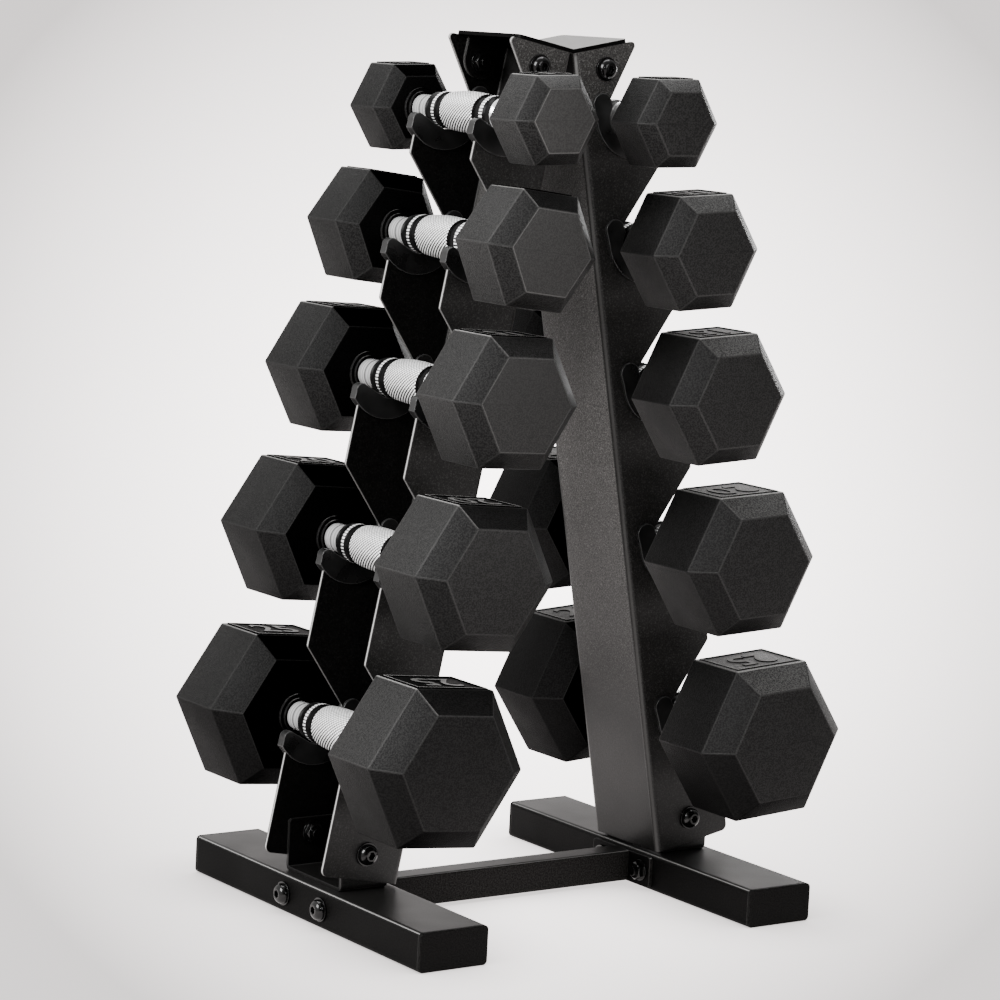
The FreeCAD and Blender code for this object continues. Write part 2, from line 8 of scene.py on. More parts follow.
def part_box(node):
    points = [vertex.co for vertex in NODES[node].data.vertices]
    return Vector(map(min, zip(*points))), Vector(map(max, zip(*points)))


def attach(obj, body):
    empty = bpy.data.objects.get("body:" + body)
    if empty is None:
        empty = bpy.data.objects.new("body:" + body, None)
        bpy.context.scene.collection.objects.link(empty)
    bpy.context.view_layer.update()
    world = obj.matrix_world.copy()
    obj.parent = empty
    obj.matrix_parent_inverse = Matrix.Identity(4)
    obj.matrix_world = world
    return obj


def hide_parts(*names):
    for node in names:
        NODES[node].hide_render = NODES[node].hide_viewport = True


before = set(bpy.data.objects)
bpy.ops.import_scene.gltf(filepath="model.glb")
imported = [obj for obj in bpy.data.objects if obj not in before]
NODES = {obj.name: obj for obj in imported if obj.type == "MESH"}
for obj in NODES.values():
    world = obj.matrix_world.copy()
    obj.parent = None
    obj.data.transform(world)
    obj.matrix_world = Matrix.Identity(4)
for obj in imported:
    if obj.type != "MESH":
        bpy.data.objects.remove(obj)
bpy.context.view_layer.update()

MM = 0.001

# ---------------------------------------------------------------- dumbbell sizes, in mm

# hexagon corner radius, half gap between the heads, prism length, handle thickness factor
SIZES = {
    5: (38.1, 79.3, 33.0, 0.93),
    10: (49.7, 82.4, 41.8, 0.98),
    15: (56.0, 84.1, 47.6, 1.0),
    20: (61.7, 84.4, 54.3, 1.0),
    25: (68.3, 85.7, 54.0, 1.02),
}
# how far each dumbbell has rolled about Y in its cradles, in degrees
ROLLS = {"left": {5: -2.0, 10: 7.0, 15: 3.0, 20: 4.7, 25: 5.0},
         "right": {5: -1.3, 10: -3.3, 15: -3.5, 20: -2.9, 25: -3.8}}
# a head's bevelled ends, as parts of its corner radius: how long they are, and their end face
BEVEL = 0.262
FACE = 0.72
HEAD_EDGE = 0.8
# stepped collar round the handle: radius, and place along Y from the head's inner end face
COLLAR = [(16.5, 1.0), (16.5, -1.4), (15.9, -2.0), (13.6, -2.0), (13.6, -3.5), (13.1, -4.0), (11.4, -4.0)]
COLLAR_HEIGHT = 4.0

# raised frame on a head's top facet, and the numerals in it
MARK_SIDE_MARGIN = 3.4
MARK_END_MARGIN = 3.2
MARK_BAR = 1.3
MARK_SINK = 0.4
MARK_RISE = 0.9
NUMERAL_SIZE = 0.82
NUMERAL_RISE = 0.75
NUMERAL_ROUNDING = 0.12
NUMERAL_BOLDNESS = 0.25

# material slots of a handle
SMOOTH, DIAMOND, BEADED, RECESS = range(4)
GRIP_RADIUS = 17.0
GRIP_HALF = 21.0
GRIP_FALL = 1.1
GRIP_STEPS = 10
# radius, place along Y and slot, from the end of the grip outwards
HANDLE_STEPS = [
    (15.7, 21.6, RECESS), (15.2, 22.1, RECESS), (14.0, 22.8, RECESS), (13.9, 28.9, RECESS),
    (14.6, 29.5, RECESS), (15.1, 30.0, RECESS), (15.3, 30.7, BEADED), (15.3, 33.8, BEADED),
    (15.1, 34.5, RECESS), (14.0, 35.6, RECESS), (13.6, 36.2, RECESS), (13.5, 42.0, RECESS),
    (14.0, 42.8, RECESS), (14.3, 43.4, SMOOTH), (13.3, 44.5, SMOOTH), (12.4, 45.8, SMOOTH),
    (11.8, 47.4, SMOOTH), (11.4, 49.2, SMOOTH), (11.2, 51.2, SMOOTH),
]
NECK_RADIUS = 11.2
NECK_OVERLAP = 3.0
HANDLE_SIDES = 64
COLLAR_SIDES = 48

# ---------------------------------------------------------------- rack sizes used by the paint, in metres

LEG_FOOT_X = 0.124
LEG_FOOT_Z = 0.032
LEG_LENGTH = 0.643
LEAN = math.radians(11.0)
FLANGE_Y = 0.041

# ---------------------------------------------------------------- shades

# sheet: its two grains, its specks, painted highlights on edges, cut rims, bends and the plate's top, and painted
# shade on the plate
SHEET_DARK = 0.0035
SHEET_PALE = 0.015
SHEET_SPECK = 0.03
SHEET_EDGE_HIGHLIGHT = 0.06
CUT_EDGE_HIGHLIGHT = 0.4
BEND_HIGHLIGHT = 0.06
PLATE_TOP_HIGHLIGHT = 0.15
PLATE_SHADE = 0.05
SHEET_SPECULAR = 0.22
INSIDE_SPECULAR = 0.06
# gains of painted light and shade: the web near the floor and higher up, the outside near the top, and the inner
# sides
WEB_LOW = 0.5
WEB_HIGH = 5.2
TOP_LIGHT_RISE = 1.8
INSIDE_SHADE_FALL = -0.75

# floor tubes: grain, painted highlights on edges and top corners, painted shade on walls, painted light on tops
# and front faces
TUBE_DARK = 0.001
TUBE_PALE = 0.006
TUBE_EDGE_HIGHLIGHT = 0.05
TUBE_CORNER_HIGHLIGHT = 0.22
TUBE_FRONT_LIGHT = 5.0
TUBE_WALL_SPECULAR = 0.025
TUBE_TOP_SPECULAR = 0.2

# rubber, its softened edges paler as a painted highlight, and gains of painted light and shade: under the heads
# by height, sides that face inwards, heads at the back, upward bevels, the top facets by side, and the end faces
# at the front left
RUBBER_LEVEL = 0.007
RUBBER_EDGE_HIGHLIGHT_LEVEL = 0.018
RUBBER_SPECULAR = 0.15
UNDER_LOW = 0.12
UNDER_HIGH = 1.5
INNER_SHADE = 0.5
REAR_SHADE = 0.55
BEVEL_SHADE = 0.75
TOP_LEFT_LIGHT = 3.6
TOP_RIGHT_LIGHT = 0.45
FACET_LEFT_LIGHT = 4.0
FACET_RIGHT_LIGHT = 0.9
FRONT_LEFT_LIGHT = 2.4
# the raised mark: painted light on its top, painted highlight on its edges, painted shade down its sides
MARK_TOP_LIGHT = 0.11
MARK_EDGE_HIGHLIGHT = 0.6
MARK_WALL_SHADE = 0.0006

# chrome: painted shade on necks that face the middle, and the crossed cuts of the knurl round and along
CHROME_INNER_SHADE = 0.25
KNURL_AROUND = 18.0
KNURL_ALONG = 900.0

# ---------------------------------------------------------------- studio

FLOOR_ALBEDO = 0.05
FLOOR_GLOW = 7.0
FLOOR_EDGE_GLOW = 1.3
# the pool of light is round when seen from this distance and height, looking down by this slope
POOL_DISTANCE = 2.704
POOL_HEIGHT = 0.6975
POOL_SLOPE = 0.1408
# the floor runs from here to the foot of the wall, curves up, and ends at the wall's top
FLOOR_FRONT = -14.0
FLOOR_BACK = 9.0
FLOOR_CURVE = 1.5
FLOOR_STEPS = 12
FLOOR_HALF_WIDTH = 16
FLOOR_DROP = 0.0002
WALL_TOP = 4.0

# direction, cosines where the lobe starts and is full, strength
WORLD_BASE = 0.12
WORLD_LOBES = [
    ((-1.0, 0.35, 0.1), 0.2, 0.95, 1.6),
    ((0.55, 0.8, 0.12), 0.3, 0.95, 1.2),
    ((0.0, 0.0, 1.0), 0.3, 1.0, 0.8),
]
# name, power, position, size
LIGHTS = [
    ("key_left", 200.0, (-2.6, -0.3, 1.9), 1.6),
    ("front_soft", 34.0, (0.2, -3.0, 1.6), 1.5),
    ("top_soft", 120.0, (0.3, 0.8, 3.0), 2.4),
    ("rim_right", 26.0, (2.2, 1.2, 0.75), 0.6),
    ("glint", 10.0, (-1.2, -2.2, 1.4), 0.05),
]
LIGHT_TARGET = (0, 0, 0.35)

CAMERA_AZIMUTH = math.radians(-35.053)
CAMERA_ELEVATION = math.radians(8.014)
CAMERA_ROLL = math.radians(2.846)
CAMERA_TARGET = (-0.017443, 0.0, 0.31687)
CAMERA_DISTANCE = 2.730503
CAMERA_SENSOR = 36.0
CAMERA_LENS = 126.85


# ---------------------------------------------------------------- node helpers

class Nodes:
    """Short-hand for building a node tree."""

    def __init__(self, tree):
        self.nodes = tree.nodes
        self.links = tree.links
        self.nodes.clear()

    def join(self, value, socket):
        if isinstance(value, bpy.types.NodeSocket):
            self.links.new(value, socket)
        else:
            socket.default_value = value

    def add(self, kind, inputs=None, **settings):
        node = self.nodes.new(kind)
        for key, value in settings.items():
            setattr(node, key, value)
        for key, value in (inputs or {}).items():
            self.join(value, node.inputs[key])
        return node

    def math(self, operation, a, b=0.0, clamp=False):
        return self.add("ShaderNodeMath", {0: a, 1: b}, operation=operation, use_clamp=clamp).outputs[0]

    def times(self, first, *others):
        for other in others:
            first = self.math("MULTIPLY", first, other)
        return first

    def absolute(self, value):
        return self.math("ABSOLUTE", value)

    def minus_one(self, value):
        return self.math("SUBTRACT", value, 1.0)

    def gain(self, factor, value):
        """1 where the factor is 0, and the value where the factor is 1."""
        return self.math("ADD", 1.0, self.times(factor, self.minus_one(value)))

    def range(self, value, low, high, to_low=0.0, to_high=1.0, **settings):
        node = self.add("ShaderNodeMapRange", {0: value, 1: low, 2: high, 3: to_low, 4: to_high},
                        clamp=True, **settings)
        return node.outputs[0]

    def band(self, value, rise, risen, fall, fallen):
        """1 between two limits and 0 outside them, with a slope at each."""
        return self.times(self.range(value, rise, risen), self.range(value, fall, fallen, 1.0, 0.0))


class Paint(Nodes):
    """The node tree of one material."""

    def __init__(self, name):
        self.material = bpy.data.materials.new(name)
        self.material.use_nodes = True
        super().__init__(self.material.node_tree)
        self.out = self.nodes.new("ShaderNodeOutputMaterial")
        self.place = self.add("ShaderNodeTexCoord").outputs["Object"]

    def mix(self, factor, a, b):
        node = self.add("ShaderNodeMix", data_type="RGBA")
        for index, value in ((0, factor), (6, a), (7, b)):
            self.join(value, node.inputs[index])
        return node.outputs[2]

    def scale(self, colour, factor):
        return self.add("ShaderNodeVectorMath", {0: colour, 3: factor}, operation="SCALE").outputs[0]

    def split(self, vector):
        return list(self.add("ShaderNodeSeparateXYZ", {0: vector}).outputs)

    def noise(self, scale, detail=2.0, rough=0.5, vector=None):
        where = self.place if vector is None else vector
        inputs = {"Vector": where, "Scale": scale, "Detail": detail, "Roughness": rough}
        return self.add("ShaderNodeTexNoise", inputs).outputs["Fac"]

    def bump(self, height, distance, strength=1.0, normal=None):
        inputs = {"Height": height, "Distance": distance, "Strength": strength}
        if normal is not None:
            inputs["Normal"] = normal
        return self.add("ShaderNodeBump", inputs).outputs[0]

    def surface(self):
        """Position and flat normal of the surface, each as three separate values."""
        geometry = self.add("ShaderNodeNewGeometry")
        return self.split(geometry.outputs["Position"]), self.split(geometry.outputs["True Normal"])

    def edges(self, radius, gain=3.0):
        """1 near convex and concave edges, 0 on flats, and the rounded normal."""
        rounded = self.add("ShaderNodeBevel", {"Radius": radius}, samples=6).outputs[0]
        flat = self.add("ShaderNodeNewGeometry").outputs["True Normal"]
        dot = self.add("ShaderNodeVectorMath", {0: rounded, 1: flat}, operation="DOT_PRODUCT").outputs["Value"]
        return self.math("MULTIPLY", self.math("SUBTRACT", 1.0, dot), gain, clamp=True), rounded

    def shade(self, **inputs):
        inputs = {key.replace("_", " "): value for key, value in inputs.items()}
        shader = self.add("ShaderNodeBsdfPrincipled", inputs)
        self.links.new(shader.outputs[0], self.out.inputs[0])
        return self.material


def rgb(level, tint=0.0):
    """A grey of this level, a little warm with a tint."""
    return (level * (1 + tint), level, level * (1 - tint), 1.0)


# ---------------------------------------------------------------- rack materials

def web_gain(t, z):
    """Painted light on the web between the flanges: it grows from the floor up and ends in painted shade under
    the plate.
    """
    rising = t.range(z, 0.14, 0.34, WEB_LOW, WEB_HIGH)
    return t.times(rising, t.range(z, 0.36, 0.55, 1.0, 0.6), t.range(z, 0.60, 0.625, 1.0, 0.05))


def sheet_paint():
    """Black powder coat on the bent sheet: fine grain and pale specks, painted highlights on edges, cut rims and
    bends, and painted light and shade.
    """
    t = Paint("powder_coat_black")
    edge, rounded = t.edges(0.0008, 6.0)
    (x, y, z), (nx, ny, nz) = t.surface()
    across = t.absolute(ny)

    # where on the sheet: top plate, distance from the flanges' middle, web, inner sides, bends
    inset = t.math("SUBTRACT", LEG_FOOT_X, t.absolute(x))
    rise = t.math("SUBTRACT", z, LEG_FOOT_Z)
    station = t.math("ADD", t.times(inset, math.sin(LEAN)), t.times(rise, math.cos(LEAN)))
    plate = t.range(station, LEG_LENGTH - 0.0004, LEG_LENGTH - 0.0001)
    from_flange = t.absolute(t.math("SUBTRACT", t.absolute(y), FLANGE_Y))
    web = t.times(t.range(across, 0.15, 0.5, 1.0, 0.0), t.range(from_flange, 0.0030, 0.0036))
    inside = t.range(t.times(y, ny), -0.03, -0.01, 1.0, 0.0)
    outside = t.math("SUBTRACT", 1.0, inside)
    bend_highlight = t.band(across, 0.3, 0.45, 0.7, 0.85)
    cut_highlight = t.times(t.range(across, 0.15, 0.3, 1.0, 0.0), t.range(from_flange, 0.0002, 0.0009, 1.0, 0.0),
                  t.range(nz, -0.6, 0.0, 0.25, 1.0))

    grain = t.noise(800.0, 2.0, 0.6)
    speck = t.range(t.noise(1000.0, 1.0, 0.5), 0.56, 0.68)
    base = t.mix(t.range(grain, 0.38, 0.62), rgb(SHEET_DARK, 0.04), rgb(SHEET_PALE, 0.04))
    base = t.mix(speck, base, rgb(SHEET_SPECK, 0.03))
    # painted highlight on the edges
    base = t.mix(t.times(edge, 0.6), base, rgb(SHEET_EDGE_HIGHLIGHT, 0.02))
    # painted highlight along the bends
    base = t.mix(t.times(bend_highlight, 0.7), base, rgb(BEND_HIGHLIGHT, 0.02))

    # painted light and shade: the web paler with height, the inner sides darker, the outside paler near the top,
    # darker near the floor and on the plate
    level = t.math("ADD", t.gain(web, web_gain(t, z)), t.range(inside, 0.0, 1.0, 0.0, INSIDE_SHADE_FALL))
    near_top_light = t.times(outside, t.range(z, 0.59, 0.63, 0.0, TOP_LIGHT_RISE))
    near_floor_shade = t.range(z, 0.08, 0.16, 0.5, 1.0)
    level = t.times(level, t.math("ADD", 1.0, near_top_light), near_floor_shade, t.gain(plate, PLATE_SHADE))
    # painted highlight on the cut rims, weaker where they face down
    base = t.mix(cut_highlight, t.scale(base, level), rgb(CUT_EDGE_HIGHLIGHT, 0.02))
    # painted highlight on the top plate's upper side where it tilts to the left
    plate_top_highlight = t.times(plate, t.range(nz, 0.8, 0.95), t.range(nx, -0.1, 0.0, 1.0, 0.0))
    base = t.mix(plate_top_highlight, base, rgb(PLATE_TOP_HIGHLIGHT, 0.02))

    low_web = t.times(web, t.range(z, 0.14, 0.34, 0.55, 0.0))
    specular = t.times(t.range(inside, 0.0, 1.0, SHEET_SPECULAR, INSIDE_SPECULAR),
                       t.math("SUBTRACT", 1.0, low_web), t.gain(plate, 0.1))
    return t.shade(Base_Color=base, Roughness=t.range(t.noise(14.0, 3.0, 0.55), 0.3, 0.7, 0.36, 0.46),
                   Normal=t.bump(grain, 0.00014, 0.5, rounded), IOR=1.5, Specular_IOR_Level=specular)


def tube_paint():
    """The same coat on the floor tubes, with painted shade on the walls, painted light on the tops and front
    faces, and painted highlights on edges and top corners.
    """
    t = Paint("powder_coat_tubes")
    edge, rounded = t.edges(0.0010, 6.0)
    _, (_, ny, nz) = t.surface()
    top = t.range(nz, 0.3, 0.95)
    corner = t.band(nz, 0.60, 0.64, 0.78, 0.82)
    grain = t.noise(800.0, 2.0, 0.6)
    base = t.mix(t.range(grain, 0.38, 0.62), rgb(TUBE_DARK, 0.04), rgb(TUBE_PALE, 0.04))
    # painted shade on the walls, painted light on the tops and on faces towards the front
    base = t.scale(base, t.range(top, 0.0, 1.0, 0.5, 1.3))
    base = t.scale(base, t.range(ny, -0.9, -0.5, TUBE_FRONT_LIGHT, 1.0))
    # painted highlights on the edges and on a line round each top corner
    base = t.mix(t.times(edge, 0.8), base, rgb(TUBE_EDGE_HIGHLIGHT, 0.02))
    base = t.mix(t.times(corner, 0.8), base, rgb(TUBE_CORNER_HIGHLIGHT, 0.02))
    rough = t.math("ADD", t.range(t.noise(14.0, 3.0, 0.55), 0.3, 0.7, 0.36, 0.46),
                   t.range(top, 0.0, 1.0, 0.1, 0.0))
    return t.shade(Base_Color=base, Roughness=rough, Normal=t.bump(grain, 0.00014, 0.5, rounded), IOR=1.5,
                   Specular_IOR_Level=t.range(top, 0.0, 1.0, TUBE_WALL_SPECULAR, TUBE_TOP_SPECULAR))


def saddle_plastic():
    """Smooth moulded plastic with a painted highlight on its edges."""
    t = Paint("saddle_plastic_black")
    edge, rounded = t.edges(0.0012, 3.5)
    cloud = t.noise(45.0, 3.0, 0.6)
    grain = t.noise(1100.0, 2.0, 0.5)
    base = t.mix(t.range(cloud, 0.35, 0.7), rgb(0.003), rgb(0.010))
    # painted highlight on the edges
    base = t.mix(t.times(edge, 0.9), base, rgb(0.09))
    return t.shade(Base_Color=base, Roughness=t.range(cloud, 0.3, 0.7, 0.24, 0.38),
                   Normal=t.bump(grain, 0.00008, 0.4, rounded), IOR=1.5, Specular_IOR_Level=0.35)


def cap_plastic():
    """Dull moulded plastic with a dark rim."""
    t = Paint("cap_plastic_black")
    edge, rounded = t.edges(0.0008, 3.0)
    grain = t.noise(1000.0, 3.0, 0.6)
    base = t.mix(t.range(grain, 0.35, 0.65), rgb(0.001, 0.03), rgb(0.009, 0.03))
    base = t.mix(t.times(edge, 0.8), base, rgb(0.001))
    return t.shade(Base_Color=base, Roughness=t.range(grain, 0.3, 0.7, 0.45, 0.6),
                   Normal=t.bump(grain, 0.0001, 0.5, rounded), IOR=1.48, Specular_IOR_Level=0.02)


def fastener_metal():
    """Black-coated steel, glossy, with a painted highlight on its edges."""
    t = Paint("fastener_black")
    edge, rounded = t.edges(0.0005, 3.5)
    cloud = t.noise(260.0, 3.0, 0.6)
    base = t.mix(t.range(cloud, 0.35, 0.7), rgb(0.0004), rgb(0.0015))
    # painted highlight on the edges
    base = t.mix(t.times(edge, 0.6), base, rgb(0.012))
    return t.shade(Base_Color=base, Roughness=t.range(cloud, 0.3, 0.7, 0.08, 0.14),
                   Normal=t.bump(cloud, 0.00003, 0.3, rounded), IOR=1.5, Specular_IOR_Level=0.28)


# ---------------------------------------------------------------- dumbbell materials

def head_gain(t):
    """Painted light and shade on the rubber: light on top and at the front left, shade between the heads and
    under the low ones.
    """
    (x, y, z), (nx, ny, nz) = t.surface()
    across = t.absolute(ny)

    # sides: painted shade on undersides low down and painted light on them higher up, and painted shade on sides
    # that face the rack
    under = t.range(nz, -0.6, 0.15, 1.0, 0.0)
    gain = t.gain(under, t.range(z, 0.10, 0.42, UNDER_LOW, UNDER_HIGH))
    inward = t.times(t.range(t.times(x, nx), -0.02, -0.004, 1.0, 0.0), t.range(across, 0.2, 0.5, 1.0, 0.0))
    gain = t.times(gain, t.range(inward, 0.0, 1.0, 1.0, INNER_SHADE))

    # ends: painted shade on the outer one's lower bevels, and painted shadow over the inner one; painted shade on
    # heads at the back
    lower = t.math("ADD", t.range(nz, -0.2, 0.1), t.range(nz, -0.75, -0.3, 0.6, 0.7), clamp=True)
    outer = t.gain(t.band(across, 0.3, 0.5, 0.8, 0.9), lower)
    inner = t.times(t.range(nz, -0.2, 0.2, 1.0, 1.15), t.range(nz, 0.45, 0.6, 1.0, 0.01),
                    t.range(across, 0.85, 0.95, 1.0, 0.05))
    outwards = t.range(t.times(y, ny), -0.05, -0.02)
    end = t.math("ADD", t.times(outwards, t.math("SUBTRACT", outer, inner)), inner)
    gain = t.times(gain, end, t.range(y, -0.08, 0.10, 1.0, REAR_SHADE))

    # painted light on upward faces tilted to the left and painted shade on those tilted right, less on the top
    # tiers
    facet = t.range(nx, -0.05, 0.0, FACET_LEFT_LIGHT, FACET_RIGHT_LIGHT)
    top_light = t.times(t.range(nx, -0.05, 0.05, TOP_LEFT_LIGHT, TOP_RIGHT_LIGHT),
                   t.gain(t.range(nz, 0.8, 0.95), facet), t.range(z, 0.42, 0.62, 1.0, 0.6))
    gain = t.times(gain, t.gain(t.range(nz, 0.63, 0.70), top_light))

    # painted shade on bevels that slope up; painted light on the front-left end faces high up, slight painted
    # shade low down
    slope = t.times(t.band(nz, 0.15, 0.3, 0.45, 0.55), t.range(across, 0.3, 0.5))
    gain = t.times(gain, t.range(slope, 0.0, 1.0, 1.0, BEVEL_SHADE))
    front = t.times(t.range(across, 0.85, 0.95), t.range(x, -0.04, 0.02, 1.0, 0.0))
    front_light = t.times(front, t.range(z, 0.2, 0.6, -0.25, FRONT_LEFT_LIGHT))
    return t.times(gain, t.math("ADD", 1.0, front_light)), across


def rubber(name, level, contrast):
    """Rubber with a sandy grain and a faint mould line at half height, in the painted light and shade of the
    heads, its grain calmer where end faces get much painted light.
    """
    t = Paint(name)
    grain = t.noise(880.0, 2.0, 0.62)
    blotch = t.noise(24.0, 4.0, 0.6)
    wander = t.range(t.noise(60.0, 2.0, 0.5), 0.3, 0.7, -0.0003, 0.0003)
    distance = t.absolute(t.math("ADD", t.split(t.place)[2], wander))
    line = t.range(distance, 0.00015, 0.0006, 1.0, 0.0)
    base = t.mix(t.range(grain, 0.43, 0.57), rgb(level * (1 - contrast), 0.02),
                 rgb(level * (1 + contrast), 0.02))
    base = t.mix(t.range(blotch, 0.4, 0.8, 0.0, 0.2), base, rgb(level * 1.5, 0.02))
    base = t.mix(t.times(line, 0.45), base, rgb(level * 0.3))
    # the painted light and shade of the heads scale the colour and the sheen
    gain, across = head_gain(t)
    calm = t.times(t.range(across, 0.85, 0.95), t.range(gain, 1.2, 2.6, 0.1, 0.7))
    base = t.mix(calm, base, rgb(level, 0.02))
    bumped = t.bump(line, 0.0003, 0.3, t.bump(grain, 0.0006, 0.7))
    return t.shade(Base_Color=t.scale(base, gain), Roughness=t.range(blotch, 0.3, 0.75, 0.50, 0.60),
                   Normal=bumped, IOR=1.5,
                   Specular_IOR_Level=t.times(t.math("MINIMUM", gain, 1.5), RUBBER_SPECULAR))


def mark_rubber():
    """The raised frame and numerals: the same rubber with painted light on top, painted highlights on its edges
    and painted shade down its sides.
    """
    t = Paint("rubber_mark")
    _, (_, _, nz) = t.surface()
    grain = t.noise(900.0, 3.0, 0.65)
    upward = t.range(nz, 0.85, 0.95)
    edge, _ = t.edges(0.00045, 6.0)
    # painted light on the top faces, painted highlights on the edges, painted shade down the sides
    base = t.mix(t.range(grain, 0.35, 0.65), rgb(MARK_TOP_LIGHT * 0.6, 0.02), rgb(MARK_TOP_LIGHT * 1.4, 0.02))
    base = t.mix(t.times(edge, 0.8), base, rgb(MARK_EDGE_HIGHLIGHT, 0.02))
    base = t.mix(upward, rgb(MARK_WALL_SHADE), base)
    return t.shade(Base_Color=base, Roughness=t.range(grain, 0.3, 0.7, 0.42, 0.55),
                   Normal=t.bump(grain, 0.0002, 0.5), IOR=1.5,
                   Specular_IOR_Level=t.range(upward, 0.0, 1.0, 0.0, 0.12))


def chrome_shade(t):
    """Painted shade, as a gain, on the right-hand handles where they face the rack, and how far the surface faces
    up.
    """
    (x, _, _), (nx, _, nz) = t.surface()
    inward = t.times(t.range(t.times(x, nx), -0.06, -0.015, 1.0, 0.0), t.range(x, 0.0, 0.05))
    return t.range(inward, 0.0, 1.0, 1.0, CHROME_INNER_SHADE), nz


def smooth_chrome(name):
    """Chrome with faint turning marks and painted shade where it faces the rack."""
    t = Paint(name)
    shade, _ = chrome_shade(t)
    along = t.add("ShaderNodeCombineXYZ", {0: 0.0, 1: t.split(t.place)[1], 2: 0.0}).outputs[0]
    marks = t.noise(350.0, 2.0, 0.6, along)
    cloud = t.noise(90.0, 3.0, 0.6)
    base = t.scale(t.mix(t.range(marks, 0.38, 0.6), rgb(0.25), rgb(1.0)), shade)
    return t.shade(Base_Color=base, Metallic=0.62, Roughness=t.range(cloud, 0.3, 0.7, 0.10, 0.2),
                   Normal=t.bump(marks, 0.00006, 0.5))


def cut_chrome(name, pitch):
    """Chrome with crossed helical cuts that leave small pyramids, or straight ones where the pitch is 0, painted
    dark between them as shade, more on the underside.
    """
    t = Paint(name)
    shade, nz = chrome_shade(t)
    x, y, z = t.split(t.place)
    around = t.times(t.math("ARCTAN2", z, x), KNURL_AROUND)
    along = t.times(y, pitch)
    one = t.absolute(t.math("SINE", t.math("ADD", around, along)))
    two = t.absolute(t.math("SINE", t.math("SUBTRACT", around, along)))
    # painted shade: the dark valleys between the cuts spread wider as the surface faces down
    depth = t.math("SUBTRACT", two, t.range(nz, -0.4, 0.5, 0.68, 0.34))
    peak = t.times(t.range(depth, 0.0, 0.25), t.range(one, 0.05, 0.5, 0.3, 1.0))
    wear = t.noise(500.0, 3.0, 0.6)
    base = t.mix(peak, rgb(0.002), rgb(1.0))
    base = t.mix(t.range(wear, 0.5, 0.7, 0.0, 0.3), base, rgb(0.1))
    return t.shade(Base_Color=t.scale(base, shade), Metallic=t.range(peak, 0.0, 1.0, 0.0, 0.45),
                   Roughness=t.range(wear, 0.3, 0.7, 0.28, 0.42),
                   Normal=t.bump(t.math("MINIMUM", one, two), 0.0006, 0.8), IOR=1.5, Specular_IOR_Level=0.2)


def groove_black():
    """The dark recesses each side of the ring on a handle."""
    t = Paint("groove_black")
    cloud = t.noise(300.0, 3.0, 0.6)
    base = t.mix(t.range(cloud, 0.3, 0.7), rgb(0.0008), rgb(0.004))
    return t.shade(Base_Color=base, Roughness=t.range(cloud, 0.3, 0.7, 0.25, 0.4),
                   Normal=t.bump(cloud, 0.00005, 0.4), IOR=1.5, Specular_IOR_Level=0.06)


def cast_iron():
    """Raw casting."""
    t = Paint("core_iron_raw")
    grain = t.noise(500.0, 4.0, 0.6)
    return t.shade(Base_Color=t.mix(grain, rgb(0.06), rgb(0.14)), Metallic=0.8, Roughness=0.6,
                   Normal=t.bump(grain, 0.0003, 0.6))


POWDER = sheet_paint()
POWDER_LOW = tube_paint()
RUBBER = rubber("rubber_black", RUBBER_LEVEL, 0.85)
# paler rubber for the softened head edges: a painted highlight
RUBBER_EDGE_HIGHLIGHT = rubber("rubber_edge_highlight", RUBBER_EDGE_HIGHLIGHT_LEVEL, 0.3)
MARK = mark_rubber()
SADDLE = saddle_plastic()
CAP = cap_plastic()
FASTENER = fastener_metal()
CHROME = smooth_chrome("chrome_smooth")
KNURL = cut_chrome("chrome_diamond", KNURL_ALONG)
BEAD = cut_chrome("chrome_beads", 0.0)
GROOVE = groove_black()
IRON = cast_iron()


def dress_cad_nodes():
    for name, node in NODES.items():
        if name.startswith("saddles"):
            material = SADDLE
        elif name.startswith("foot_caps"):
            material = CAP
        elif name.endswith(("bolts", "washers", "nuts")):
            material = FASTENER
        elif name.startswith("cores"):
            material = IRON
        elif name.startswith("handle"):
            material = CHROME
        elif name.startswith("heads"):
            material = RUBBER
        elif name.startswith(("foot_tube", "cross")):
            material = POWDER_LOW
        else:
            material = POWDER
        node.data.materials.clear()
        node.data.materials.append(material)


# ---------------------------------------------------------------- mesh helpers

def mesh_from(bm, name):
    mesh = bpy.data.meshes.new(name)
    bm.to_mesh(mesh)
    bm.free()
    return mesh


def finish_piece(mesh, name, materials, smooth_angle):
    for material in materials:
        mesh.materials.append(material)
    obj = bpy.data.objects.new(name, mesh)
    bpy.context.scene.collection.objects.link(obj)
    for polygon in mesh.polygons:
        polygon.use_smooth = True
    mesh.set_sharp_from_angle(angle=math.radians(smooth_angle))
    return obj


def round_ring(bm, radius, y, count):
    """Points of a regular polygon about the Y axis, the first on +X."""
    ring = []
    for k in range(count):
        angle = 2 * math.pi * k / count
        ring.append(bm.verts.new((radius * math.cos(angle), y, radius * math.sin(angle))))
    return ring


def bridge(bm, first, second, slot=0):
    count = len(first)
    for k in range(count):
        face = bm.faces.new((first[k], first[(k + 1) % count], second[(k + 1) % count], second[k]))
        face.material_index = slot


def close_ends(bm, rings):
    bm.faces.new(rings[0])
    bm.faces.new(list(reversed(rings[-1])))


def add_bar(bm, x_low, x_high, y_low, y_high, z_low, z_high):
    matrix = Matrix.Translation(((x_low + x_high) / 2, (y_low + y_high) / 2, (z_low + z_high) / 2))
    size = Matrix.Diagonal((x_high - x_low, y_high - y_low, z_high - z_low, 1))
    bmesh.ops.create_cube(bm, size=1.0, matrix=matrix @ size)


# ---------------------------------------------------------------- dumbbells

